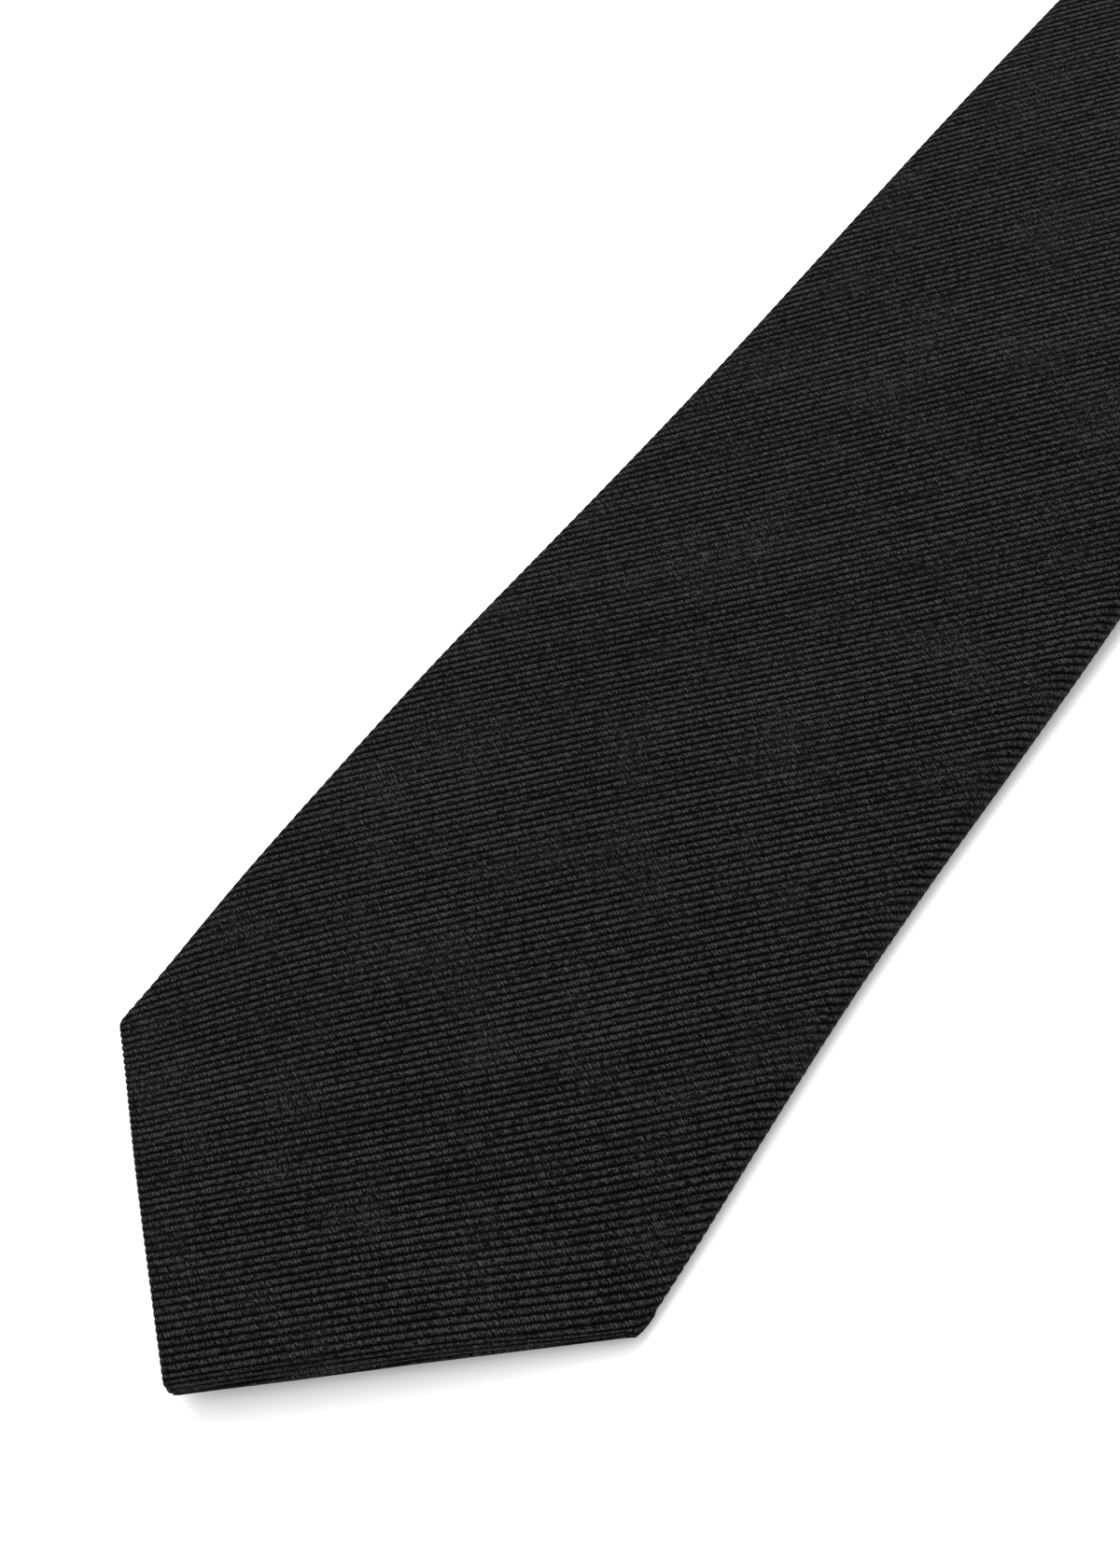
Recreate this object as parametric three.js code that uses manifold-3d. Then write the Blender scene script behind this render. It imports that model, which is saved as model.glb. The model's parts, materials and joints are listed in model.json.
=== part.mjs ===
// A necktie laid out straight with its front up. The blade's point is at -Y, the tail's
// point at +Y, and the back lies on Z = 0. Millimetres. "s" is the distance from the
// blade's point along the centre line.
import * as THREE from "three";
import { mergeVertices } from "three/addons/utils/BufferGeometryUtils.js";
import Module from "manifold-3d";

const wasm = await Module();
wasm.setup();

// Outline
const TIE_LENGTH = 1480;
const BLADE_WIDTH = 70;
const TAIL_WIDTH = 38;
const NECK_WIDTH = 34;
const POINT_HALF_ANGLE = THREE.MathUtils.degToRad(51);
const RIB_ANGLE = THREE.MathUtils.degToRad(48);
const POINT_BLUNT_HALF = 0.4;
const BLADE_TAPER_POWER = 1.6;
const NECK_START = 0.44 * TIE_LENGTH;
const NECK_END = 0.58 * TIE_LENGTH;

// Layers, from the back up
const CLOTH = 0.5;
const GAP = 0.3;
const TIPPING_THICKNESS = 0.4;
const INTERLINING_THICKNESS = 1.4;
const THREAD = 0.4;
const BACK_TOP = CLOTH;
const FLAP_LOW = BACK_TOP + GAP;
const FLAP_HIGH = FLAP_LOW + CLOTH;
const TIPPING_TOP = FLAP_LOW + TIPPING_THICKNESS;
const INTERLINING_LOW = FLAP_HIGH + GAP;
const INTERLINING_HIGH = INTERLINING_LOW + INTERLINING_THICKNESS;
const FRONT_LOW = INTERLINING_HIGH + GAP;
const FRONT_HIGH = FRONT_LOW + CLOTH;
const CAVITY_ROLL = (FRONT_LOW - BACK_TOP) / 2;

// Folds where the cloth bends over, and the two bias seams that join the three panels
const FOLD_SHARES = [0.245, 0.5, 0.755];
const FOLD_GAP = 1;
const BLADE_SEAM = 0.43 * TIE_LENGTH;
const TAIL_SEAM = 0.585 * TIE_LENGTH;
const SEAM_SLOPE = 1 / Math.tan(RIB_ANGLE);
const SEAM_GAP = (THREAD + 2 * GAP) / Math.sin(RIB_ANGLE);

// Back: lapped centre seam, open points with their hems, tacks
const LAP_HALF = 3;
const LAP_STEP = 1.2;
const OPENING_HEIGHT_SHARE = 0.88;
const BLADE_HEM = 7;
const TAIL_HEM = 5;
const TIPPING_UNDER_FLAPS = 12;
const TACK_LENGTH = 8;
const TACK_WIDTH = 1.2;
const TACK_FROM_OPENING = 5;
const SEAM_START_FROM_TACK = 3;

// Keeper loop and labels
const KEEPER_STATION = 0.12 * TIE_LENGTH;
const KEEPER_PASSAGE = TAIL_WIDTH + 1;
const KEEPER_BAND = 10;
const KEEPER_THICKNESS = 0.6;
const KEEPER_END = 2.5;
const KEEPER_RAMP = 3;
const KEEPER_LIFT = 1.6;
const MAKER_LABEL_STATION = 0.142 * TIE_LENGTH;
const MAKER_LABEL_SIZE = [40, 16];
const CARE_LABEL_SIZE = [16, 14];
const CARE_LABEL_RISE = 0.1;
const LABEL_THICKNESS = 0.3;

// How the cloth lies: the point curls up, and the back clears the keeper loop
const POINT_LIFT = 1.5;
const POINT_LIFT_RUN = 60;
const LIFT_RAMP = 60;
const LIFT_MARGIN = 22;

// Sampling
const ROLL_STEPS = 4;
const FINE_STEP = 12;
const COARSE_STEP = 40;
const REACH = 0.6 * BLADE_WIDTH;
const DEEP = 6;

const folds = FOLD_SHARES.map((share) => share * TIE_LENGTH);
const pointTangent = Math.tan(POINT_HALF_ANGLE);
const bladeShoulder = BLADE_WIDTH / 2 / pointTangent;
const tailShoulder = TIE_LENGTH - TAIL_WIDTH / 2 / pointTangent;
const bladeOpening = OPENING_HEIGHT_SHARE * BLADE_WIDTH;
const tailOpening = TIE_LENGTH - OPENING_HEIGHT_SHARE * TAIL_WIDTH;
const liftStart = KEEPER_STATION - KEEPER_BAND / 2 - LIFT_MARGIN;
const liftEnd = MAKER_LABEL_STATION + MAKER_LABEL_SIZE[1] / 2 + LIFT_MARGIN;

function toY(s) {
  return s - TIE_LENGTH / 2;
}

// Half the width of the panels, points left out.
function taperedHalf(s) {
  if (s < NECK_START) {
    const left = (NECK_START - Math.max(s, bladeShoulder)) / (NECK_START - bladeShoulder);
    return (NECK_WIDTH + (BLADE_WIDTH - NECK_WIDTH) * left ** BLADE_TAPER_POWER) / 2;
  }
  const grown = THREE.MathUtils.clamp((s - NECK_END) / (tailShoulder - NECK_END), 0, 1);
  return (NECK_WIDTH + (TAIL_WIDTH - NECK_WIDTH) * grown) / 2;
}

// Half the width at s of the outline moved in by inset.
function halfWidth(s, inset) {
  const pointInset = inset / Math.cos(POINT_HALF_ANGLE);
  const bladePoint = POINT_BLUNT_HALF + s * pointTangent - pointInset;
  const tailPoint = POINT_BLUNT_HALF + (TIE_LENGTH - s) * pointTangent - pointInset;
  return Math.min(taperedHalf(s) - inset, bladePoint, tailPoint);
}

// How far the whole thickness is raised at s.
function lift(s) {
  const curl = Math.max(0, 1 - s / POINT_LIFT_RUN);
  const rise = THREE.MathUtils.smoothstep(s, liftStart - LIFT_RAMP, liftStart);
  const fall = THREE.MathUtils.smoothstep(s, liftEnd, liftEnd + LIFT_RAMP);
  return POINT_LIFT * curl * curl + KEEPER_LIFT * (rise - fall);
}

function stations() {
  const list = [0, bladeShoulder, ...folds, NECK_START, NECK_END, tailShoulder, TIE_LENGTH];
  const fineEnd = liftEnd + LIFT_RAMP;
  for (let s = FINE_STEP / 2; s < bladeShoulder; s += FINE_STEP / 2) list.push(s);
  for (let s = bladeShoulder + FINE_STEP; s < fineEnd; s += FINE_STEP) list.push(s);
  for (let s = fineEnd; s < tailShoulder; s += COARSE_STEP) list.push(s);
  list.sort((a, b) => a - b);
  return list.filter((s, i) => i === 0 || s - list[i - 1] > 1);
}

const allStations = stations();

function toManifold(geometry) {
  const bare = new THREE.BufferGeometry();
  bare.setAttribute("position", geometry.getAttribute("position").clone());
  if (geometry.index) bare.setIndex(geometry.index.clone());
  const merged = mergeVertices(bare, 1e-4);
  const mesh = new wasm.Mesh({
    numProp: 3,
    vertProperties: new Float32Array(merged.getAttribute("position").array),
    triVerts: new Uint32Array(merged.index.array),
  });
  return new wasm.Manifold(mesh);
}

// A solid through equal rings of [x, y, z] points, closed at both ends.
function loft(rings) {
  const count = rings[0].length;
  const positions = rings.flat(2);
  const index = [];
  for (let i = 0; i + 1 < rings.length; i += 1) {
    for (let j = 0; j < count; j += 1) {
      const a = i * count + j;
      const b = i * count + ((j + 1) % count);
      index.push(a, b, b + count, a, b + count, a + count);
    }
  }
  const last = (rings.length - 1) * count;
  for (let j = 1; j + 1 < count; j += 1) {
    index.push(0, j + 1, j);
    index.push(last, last + j, last + j + 1);
  }
  const geometry = new THREE.BufferGeometry();
  geometry.setAttribute("position", new THREE.Float32BufferAttribute(positions, 3));
  geometry.setIndex(index);
  return toManifold(geometry);
}

// The outline moved in by inset, from zLow to zHigh, with rolled sides.
function rolledSlab(zLow, zHigh, inset) {
  const roll = (zHigh - zLow) / 2;
  const middle = (zHigh + zLow) / 2;
  const start = inset / Math.sin(POINT_HALF_ANGLE);
  const inner = allStations.filter((s) => s > start + 1 && s < TIE_LENGTH - start - 1);
  const rings = [start, ...inner, TIE_LENGTH - start].map((s) => {
    const half = halfWidth(s, inset);
    const rollX = Math.min(roll, half * 0.98);
    const ring = [];
    for (let side = 1; side >= -1; side -= 2) {
      for (let k = 0; k <= ROLL_STEPS; k += 1) {
        const angle = side * (k / ROLL_STEPS - 0.5) * Math.PI;
        const x = side * (half - rollX + rollX * Math.cos(angle));
        ring.push([x, toY(s), middle + roll * Math.sin(angle) + lift(s)]);
      }
    }
    return ring.reverse();
  });
  return loft(rings);
}

// A wide sheet from zLow to zHigh that follows how the cloth lies.
function layer(zLow, zHigh) {
  const rings = [-FINE_STEP, ...allStations, TIE_LENGTH + FINE_STEP].map((s) => {
    const low = zLow + lift(s);
    const high = zHigh + lift(s);
    const y = toY(s);
    return [[-REACH, y, low], [-REACH, y, high], [REACH, y, high], [REACH, y, low]];
  });
  return loft(rings);
}

// An upright prism over corners given as [x, s].
function prism(corners) {
  const shape = new THREE.Shape(corners.map(([x, s]) => new THREE.Vector2(x, toY(s))));
  const depth = 8 * DEEP;
  const geometry = new THREE.ExtrudeGeometry(shape, { depth, bevelEnabled: false });
  geometry.translate(0, 0, -depth / 2);
  return toManifold(geometry);
}

function rectangle(xLow, xHigh, sLow, sHigh) {
  return prism([[xLow, sLow], [xHigh, sLow], [xHigh, sHigh], [xLow, sHigh]]);
}

function block(xLow, xHigh, sLow, sHigh, zLow, zHigh) {
  return rectangle(xLow, xHigh, sLow, sHigh).intersect(layer(zLow, zHigh));
}

// The stretch between two cuts. A cut is { s, slope, gap }.
function between(low, high) {
  const edge = (cut, x, side) => [x, cut.s + cut.slope * x + (side * cut.gap) / 2];
  return prism([
    edge(low, -REACH, 1),
    edge(low, REACH, 1),
    edge(high, REACH, -1),
    edge(high, -REACH, -1),
  ]);
}

// The part of the back left open at a point: hems on two sides, folded flaps on the others.
function openingWidest(tip, apex, hem, width) {
  const fromTip = hem / Math.sin(POINT_HALF_ANGLE) + (width / 2 - hem) / pointTangent;
  return tip + Math.sign(apex - tip) * fromTip;
}

function opening(tip, apex, hem, width) {
  const side = width / 2 - hem;
  const first = tip + (Math.sign(apex - tip) * hem) / Math.sin(POINT_HALF_ANGLE);
  const middle = openingWidest(tip, apex, hem, width);
  return prism([[0, first], [side, middle], [0, apex], [-side, middle]]);
}

const cuts = {
  start: { s: -FINE_STEP, slope: 0, gap: 0 },
  bladeFold: { s: folds[0], slope: 0, gap: FOLD_GAP },
  bladeSeam: { s: BLADE_SEAM, slope: SEAM_SLOPE, gap: SEAM_GAP },
  neckFold: { s: folds[1], slope: 0, gap: FOLD_GAP },
  tailSeam: { s: TAIL_SEAM, slope: SEAM_SLOPE, gap: SEAM_GAP },
  tailFold: { s: folds[2], slope: 0, gap: FOLD_GAP },
  end: { s: TIE_LENGTH + FINE_STEP, slope: 0, gap: 0 },
};

const bladeTack = bladeOpening + TACK_FROM_OPENING;
const tailTack = tailOpening - TACK_FROM_OPENING;
const groove = -LAP_HALF;

function tack(station, clearance) {
  const halfLength = TACK_LENGTH / 2 + clearance;
  const halfWide = TACK_WIDTH / 2 + clearance;
  const low = station - halfWide;
  const high = station + halfWide;
  const zLow = clearance > 0 ? -DEEP : 0;
  return block(groove - halfLength, groove + halfLength, low, high, zLow, CLOTH + clearance);
}

function lapBar(clearance) {
  const low = groove - LAP_STEP - clearance;
  const high = LAP_HALF + clearance;
  return block(low, high, bladeOpening, tailOpening, 0, FLAP_HIGH + clearance);
}

function wrap() {
  const hollow = rolledSlab(BACK_TOP, FRONT_LOW, CLOTH).subtract(lapBar(0));
  const bladePlan = opening(0, bladeOpening, BLADE_HEM, BLADE_WIDTH);
  const tailPlan = opening(TIE_LENGTH, tailOpening, TAIL_HEM, TAIL_WIDTH);
  const openings = bladePlan.add(tailPlan).intersect(layer(-DEEP, FLAP_HIGH + GAP / 2));
  const wide = THREAD / 2 + GAP;
  const slit = block(groove - wide, groove + wide, bladeShoulder, tailShoulder, -DEEP, FLAP_LOW);
  const lap = block(groove, LAP_HALF + GAP, bladeShoulder, tailShoulder, BACK_TOP, FLAP_LOW);
  return rolledSlab(0, FRONT_HIGH, 0)
    .subtract(hollow)
    .subtract(openings)
    .subtract(slit)
    .subtract(lap)
    .subtract(tack(bladeTack, GAP))
    .subtract(tack(tailTack, GAP));
}

const TIPPING_INSET = CLOTH + CAVITY_ROLL + GAP;

function tipping(tip, apex) {
  const toward = Math.sign(apex - tip);
  const far = apex + toward * TIPPING_UNDER_FLAPS;
  const plate = rolledSlab(-DEEP, DEEP, TIPPING_INSET).intersect(
    block(-REACH, REACH, Math.min(tip, far), Math.max(tip, far), FLAP_LOW, TIPPING_TOP),
  );
  return plate.subtract(lapBar(GAP));
}

// Half the keeper's free span: the tail's width, or what the blade's back leaves.
function keeperHalf() {
  const room = halfWidth(KEEPER_STATION, FRONT_HIGH / 2) - KEEPER_RAMP - KEEPER_END;
  return Math.min(KEEPER_PASSAGE / 2, room);
}

function keeper() {
  const half = keeperHalf();
  const raised = KEEPER_LIFT - GAP - KEEPER_THICKNESS;
  const path = [
    [-half - KEEPER_RAMP - KEEPER_END, raised],
    [-half - KEEPER_RAMP, raised],
    [-half, 0],
    [half, 0],
    [half + KEEPER_RAMP, raised],
    [half + KEEPER_RAMP + KEEPER_END, raised],
  ];
  const rings = path.map(([x, z]) => {
    const low = toY(KEEPER_STATION - KEEPER_BAND / 2);
    const high = toY(KEEPER_STATION + KEEPER_BAND / 2);
    const top = z + KEEPER_THICKNESS;
    return [[x, low, z], [x, high, z], [x, high, top], [x, low, top]];
  });
  return loft(rings);
}

function keeperStitch(side) {
  const middle = side * (keeperHalf() + KEEPER_RAMP + KEEPER_END / 2);
  const half = THREAD;
  const low = KEEPER_STATION - KEEPER_BAND / 2 + THREAD;
  const high = KEEPER_STATION + KEEPER_BAND / 2 - THREAD;
  const raised = KEEPER_LIFT - GAP - KEEPER_THICKNESS - GAP;
  const plan = rectangle(middle - half, middle + half, low, high);
  return plan.intersect(layer(raised - THREAD - KEEPER_LIFT, raised - KEEPER_LIFT));
}

function label(station, [wide, high], zHigh) {
  const low = station - high / 2;
  return block(-wide / 2, wide / 2, low, low + high, zHigh - LABEL_THICKNESS, zHigh);
}

function seamThread(cut) {
  const strip = between(
    { s: cut.s, slope: cut.slope, gap: -THREAD / Math.sin(RIB_ANGLE) },
    { s: cut.s, slope: cut.slope, gap: -THREAD / Math.sin(RIB_ANGLE) },
  );
  const inside = rolledSlab(FRONT_LOW - CLOTH, FRONT_HIGH, CLOTH + GAP);
  return strip.intersect(inside).intersect(layer(FRONT_LOW, FRONT_LOW + THREAD));
}

function slipStitch(low, high) {
  const half = THREAD / 2;
  return block(groove - half, groove + half, low, high, BACK_TOP - THREAD, BACK_TOP);
}

const group = new THREE.Group();

function addPart(name, solid, color, roughness) {
  const mesh = solid.getMesh();
  const geometry = new THREE.BufferGeometry();
  geometry.setAttribute("position", new THREE.BufferAttribute(mesh.vertProperties, 3));
  geometry.setIndex(new THREE.BufferAttribute(mesh.triVerts, 1));
  const flat = geometry.toNonIndexed();
  flat.computeVertexNormals();
  const material = new THREE.MeshStandardMaterial({ color, roughness, metalness: 0 });
  const part = new THREE.Mesh(flat, material);
  part.name = name;
  group.add(part);
}

const CLOTH_COLOR = 0x1c1c1d;
const TIPPING_COLOR = 0x161617;
const INTERLINING_COLOR = 0xd8d4c8;
const THREAD_COLOR = 0x222224;
const LABEL_COLOR = 0x2a2a2c;
const CLOTH_ROUGHNESS = 0.75;
const SATIN_ROUGHNESS = 0.45;
const FELT_ROUGHNESS = 0.95;

const shell = wrap();
const panels = [
  ["blade_shell_lower", cuts.start, cuts.bladeFold],
  ["blade_shell_upper", cuts.bladeFold, cuts.bladeSeam],
  ["neck_shell_front", cuts.bladeSeam, cuts.neckFold],
  ["neck_shell_rear", cuts.neckFold, cuts.tailSeam],
  ["tail_shell_upper", cuts.tailSeam, cuts.tailFold],
  ["tail_shell_lower", cuts.tailFold, cuts.end],
];
for (const [name, low, high] of panels) {
  addPart(name, shell.intersect(between(low, high)), CLOTH_COLOR, CLOTH_ROUGHNESS);
}

const padding = rolledSlab(INTERLINING_LOW, INTERLINING_HIGH, CLOTH + 2 * GAP);
const lengths = [
  ["blade", cuts.start, cuts.bladeFold],
  ["neck_front", cuts.bladeFold, cuts.neckFold],
  ["neck_rear", cuts.neckFold, cuts.tailFold],
  ["tail", cuts.tailFold, cuts.end],
];
for (const [place, low, high] of lengths) {
  const piece = padding.intersect(between(low, high));
  addPart(`interlining_${place}`, piece, INTERLINING_COLOR, FELT_ROUGHNESS);
}

const stitchStart = bladeTack + SEAM_START_FROM_TACK;
const stitchEnd = tailTack - SEAM_START_FROM_TACK;
const stitchEnds = [stitchStart, ...folds, stitchEnd];
lengths.forEach(([place], i) => {
  const low = stitchEnds[i] + (i > 0 ? FOLD_GAP / 2 : 0);
  const high = stitchEnds[i + 1] - (i < folds.length ? FOLD_GAP / 2 : 0);
  addPart(`slip_stitch_${place}`, slipStitch(low, high), THREAD_COLOR, SATIN_ROUGHNESS);
});

addPart("blade_tipping", tipping(0, bladeOpening), TIPPING_COLOR, SATIN_ROUGHNESS);
addPart("tail_tipping", tipping(TIE_LENGTH, tailOpening), TIPPING_COLOR, SATIN_ROUGHNESS);
addPart("blade_bar_tack", tack(bladeTack, 0), THREAD_COLOR, SATIN_ROUGHNESS);
addPart("tail_bar_tack", tack(tailTack, 0), THREAD_COLOR, SATIN_ROUGHNESS);
addPart("blade_seam_thread", seamThread(cuts.bladeSeam), THREAD_COLOR, SATIN_ROUGHNESS);
addPart("tail_seam_thread", seamThread(cuts.tailSeam), THREAD_COLOR, SATIN_ROUGHNESS);
addPart("keeper_loop", keeper(), CLOTH_COLOR, CLOTH_ROUGHNESS);
addPart("keeper_stitch_left", keeperStitch(-1), THREAD_COLOR, SATIN_ROUGHNESS);
addPart("keeper_stitch_right", keeperStitch(1), THREAD_COLOR, SATIN_ROUGHNESS);

const makerLabel = label(MAKER_LABEL_STATION, MAKER_LABEL_SIZE, -GAP);
const bladeWidest = openingWidest(0, bladeOpening, BLADE_HEM, BLADE_WIDTH);
const careStation = bladeWidest + CARE_LABEL_RISE * (bladeOpening - bladeWidest);
const careLabel = label(careStation, CARE_LABEL_SIZE, BACK_TOP);
addPart("maker_label_blank", makerLabel, LABEL_COLOR, SATIN_ROUGHNESS);
addPart("care_label_blank", careLabel, LABEL_COLOR, SATIN_ROUGHNESS);

export default group;
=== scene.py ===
"""The necktie's cloth, thread, linings and labels over the CAD frame, on a white table."""

import json
import math

import bmesh
import bpy
import numpy as np
from mathutils import Matrix, Vector


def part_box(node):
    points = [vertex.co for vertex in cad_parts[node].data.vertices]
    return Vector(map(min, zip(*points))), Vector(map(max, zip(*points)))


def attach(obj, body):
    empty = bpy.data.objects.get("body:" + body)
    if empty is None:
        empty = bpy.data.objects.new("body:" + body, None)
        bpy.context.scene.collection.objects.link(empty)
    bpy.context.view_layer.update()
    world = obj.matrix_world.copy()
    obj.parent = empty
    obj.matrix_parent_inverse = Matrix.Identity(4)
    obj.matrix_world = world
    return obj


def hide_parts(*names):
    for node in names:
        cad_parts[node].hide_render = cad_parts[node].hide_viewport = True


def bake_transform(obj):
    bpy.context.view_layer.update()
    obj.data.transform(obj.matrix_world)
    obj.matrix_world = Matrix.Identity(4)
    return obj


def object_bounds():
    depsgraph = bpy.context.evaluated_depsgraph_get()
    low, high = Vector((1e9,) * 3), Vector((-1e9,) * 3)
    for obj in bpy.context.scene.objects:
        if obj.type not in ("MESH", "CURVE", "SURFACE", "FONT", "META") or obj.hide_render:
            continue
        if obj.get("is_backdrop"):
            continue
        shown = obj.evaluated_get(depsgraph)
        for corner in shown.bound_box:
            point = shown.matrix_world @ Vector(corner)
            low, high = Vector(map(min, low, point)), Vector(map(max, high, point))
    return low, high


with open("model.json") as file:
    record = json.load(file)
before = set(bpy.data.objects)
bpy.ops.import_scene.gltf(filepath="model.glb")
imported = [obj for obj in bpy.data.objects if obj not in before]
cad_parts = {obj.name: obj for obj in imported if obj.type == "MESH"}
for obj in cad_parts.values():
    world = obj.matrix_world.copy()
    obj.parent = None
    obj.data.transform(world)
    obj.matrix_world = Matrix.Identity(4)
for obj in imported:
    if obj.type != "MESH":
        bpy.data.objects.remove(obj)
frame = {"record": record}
LOW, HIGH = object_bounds()

# Everything below is in millimetres until it becomes a mesh. "s" is the distance from the
# blade's point along the tie, and a panel's own x and s start at its own point.
MM = 0.001
LENGTH = (HIGH.y - LOW.y) / MM
BLADE_WIDTH = (HIGH.x - LOW.x) / MM
THICKNESS = (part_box("neck_shell_front")[1].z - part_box("neck_shell_front")[0].z) / MM
NECK_WIDTH = 34.0
TAIL_WIDTH = (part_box("tail_shell_lower")[1].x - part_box("tail_shell_lower")[0].x) / MM
POINT_ANGLE = math.radians(51)
RIB_ANGLE = math.radians(48)
TAPER_POWER = 1.6
EDGE_INSET = 0.25
WAVE_FADE = (5, 40)
NECK_START = 0.44 * LENGTH
NECK_END = 0.58 * LENGTH
BLADE_SHOULDER = BLADE_WIDTH / 2 / math.tan(POINT_ANGLE)
TAIL_SHOULDER = LENGTH - TAIL_WIDTH / 2 / math.tan(POINT_ANGLE)

# The ribs' relief is (place across a rib, height) pairs. The rolls are the folded edges' radii.
RIB_PITCH = 0.89
RIB_SHAPE = ((0.0, -0.13), (0.2, -0.005), (0.5, 0.022), (0.8, -0.005))
CLOTH = 0.5
ROLL = 1.7
POINT_ROLL = 0.9
TURN_ROLL = 0.3
CREASE_ANGLE = 1.75
TURN_IN = 5.0
LAP = 3.0
LAP_RISE = 0.9
BLADE_HEM = 7.0
TAIL_HEM = 5.0
SEAM_GAP = 0.12
SEAM_EASE = 1.1
SEAM_DROP = 0.95
SEAM_ROWS = (0.7, 0.45, 0.25, 0.1)
ALLOWANCE_ROWS = (0.4, 1.6, 3.4)
ALLOWANCE_DROP = 0.08
ROW_PASSES = 6
FRONT_COLUMNS = 15
ROLL_COLUMNS = 5
FLAP_COLUMNS = 7
TURN_COLUMNS = 3

SIN, COS, TAN = math.sin(POINT_ANGLE), math.cos(POINT_ANGLE), math.tan(POINT_ANGLE)
RIB_SIN, RIB_COS = math.sin(RIB_ANGLE), math.cos(RIB_ANGLE)

joints = {j["name"]: j for j in frame["record"]["behaviour"]["joints"]}


def station(y):
    """The station of a row-frame y."""
    return (y - LOW.y) / MM


def seam_station(before, after):
    """Where the bias seam between two shells crosses the centre line."""
    return station((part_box(before)[1].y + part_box(after)[0].y) / 2)


BLADE_SEAM = seam_station("blade_shell_upper", "neck_shell_front")
TAIL_SEAM = seam_station("neck_shell_rear", "tail_shell_upper")


def smooth(x, low, high):
    """0 below low, 1 above high and an easy slope between."""
    t = np.clip((x - low) / (high - low), 0, 1)
    return t * t * (3 - 2 * t)


def tie_half(s):
    """Half the tie's width, points left out."""
    s = np.asarray(s, float)
    left = np.clip((NECK_START - np.maximum(s, BLADE_SHOULDER)) / (NECK_START - BLADE_SHOULDER), 0, 1)
    blade = (NECK_WIDTH + (BLADE_WIDTH - NECK_WIDTH) * left**TAPER_POWER) / 2
    grown = np.clip((s - NECK_END) / (TAIL_SHOULDER - NECK_END), 0, 1)
    tail = (NECK_WIDTH + (TAIL_WIDTH - NECK_WIDTH) * grown) / 2
    wave = 0.12 * np.sin(s / 31.0) + 0.1 * np.sin(s / 13.7 + 1.0) - EDGE_INSET
    near, far = WAVE_FADE
    steady = smooth(s, BLADE_SHOULDER + near, BLADE_SHOULDER + far)
    steady = steady * (1 - smooth(s, TAIL_SHOULDER - far, TAIL_SHOULDER - near))
    return np.where(s < NECK_START, blade, tail) + wave * steady


def blade_half(s):
    """Half the blade's width, carried straight on past its shoulders."""
    return tie_half(np.maximum(s, BLADE_SHOULDER))


def tail_half(s):
    """Half the tail's width, from the tail's own point."""
    return tie_half(LENGTH - np.maximum(s, LENGTH - TAIL_SHOULDER))


# How the whole tie lies on the table.
POINT_LIFT = 1.5
POINT_LIFT_RUN = 60.0
KEEPER_LIFT = 1.6
LIFT_RAMP = 60.0
POINT_SAG = 0.5
POINT_SAG_RUN = 48.0
LIFT_MARGIN = 22.0
LIFT_START = station(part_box("keeper_loop")[0].y) - LIFT_MARGIN
LIFT_END = station(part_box("maker_label_blank")[1].y) + LIFT_MARGIN
SWAY_NEAR = -1.6
SWAY_NEAR_AT = 78.0
SWAY_NEAR_REACH = 36.0
SWAY_FAR = 2.7
SWAY_FAR_RISE = (150.0, 350.0)
SWAY_FAR_FALL = (420.0, 660.0)


def lift(s):
    """How far the tie's underside is off the table."""
    curl = np.clip(1 - s / POINT_LIFT_RUN, 0, 1)
    raised = smooth(s, LIFT_START - LIFT_RAMP, LIFT_START) - smooth(s, LIFT_END, LIFT_END + LIFT_RAMP)
    return POINT_LIFT * curl**2 + KEEPER_LIFT * raised


def sway(s):
    """How far the tie's centre line wanders sideways."""
    near = SWAY_NEAR * np.exp(-(((s - SWAY_NEAR_AT) / SWAY_NEAR_REACH) ** 2))
    return near + SWAY_FAR * (smooth(s, *SWAY_FAR_RISE) - smooth(s, *SWAY_FAR_FALL))


def lie(points):
    """Tie coordinates in millimetres to the row frame in metres."""
    p = np.array(points, float).reshape(-1, 3)
    s = p[:, 1].copy()
    p[:, 0] += sway(s)
    p[:, 2] += lift(s)
    p *= MM
    p[:, 1] += LOW.y
    return p


def turned(points):
    """From the tail panel's own coordinates, which start at the tail's point, to the tie's."""
    p = np.array(points, float)
    p[:, 0] *= -1
    p[:, 1] = LENGTH - p[:, 1]
    return p


WELD = 2e-6


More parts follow.
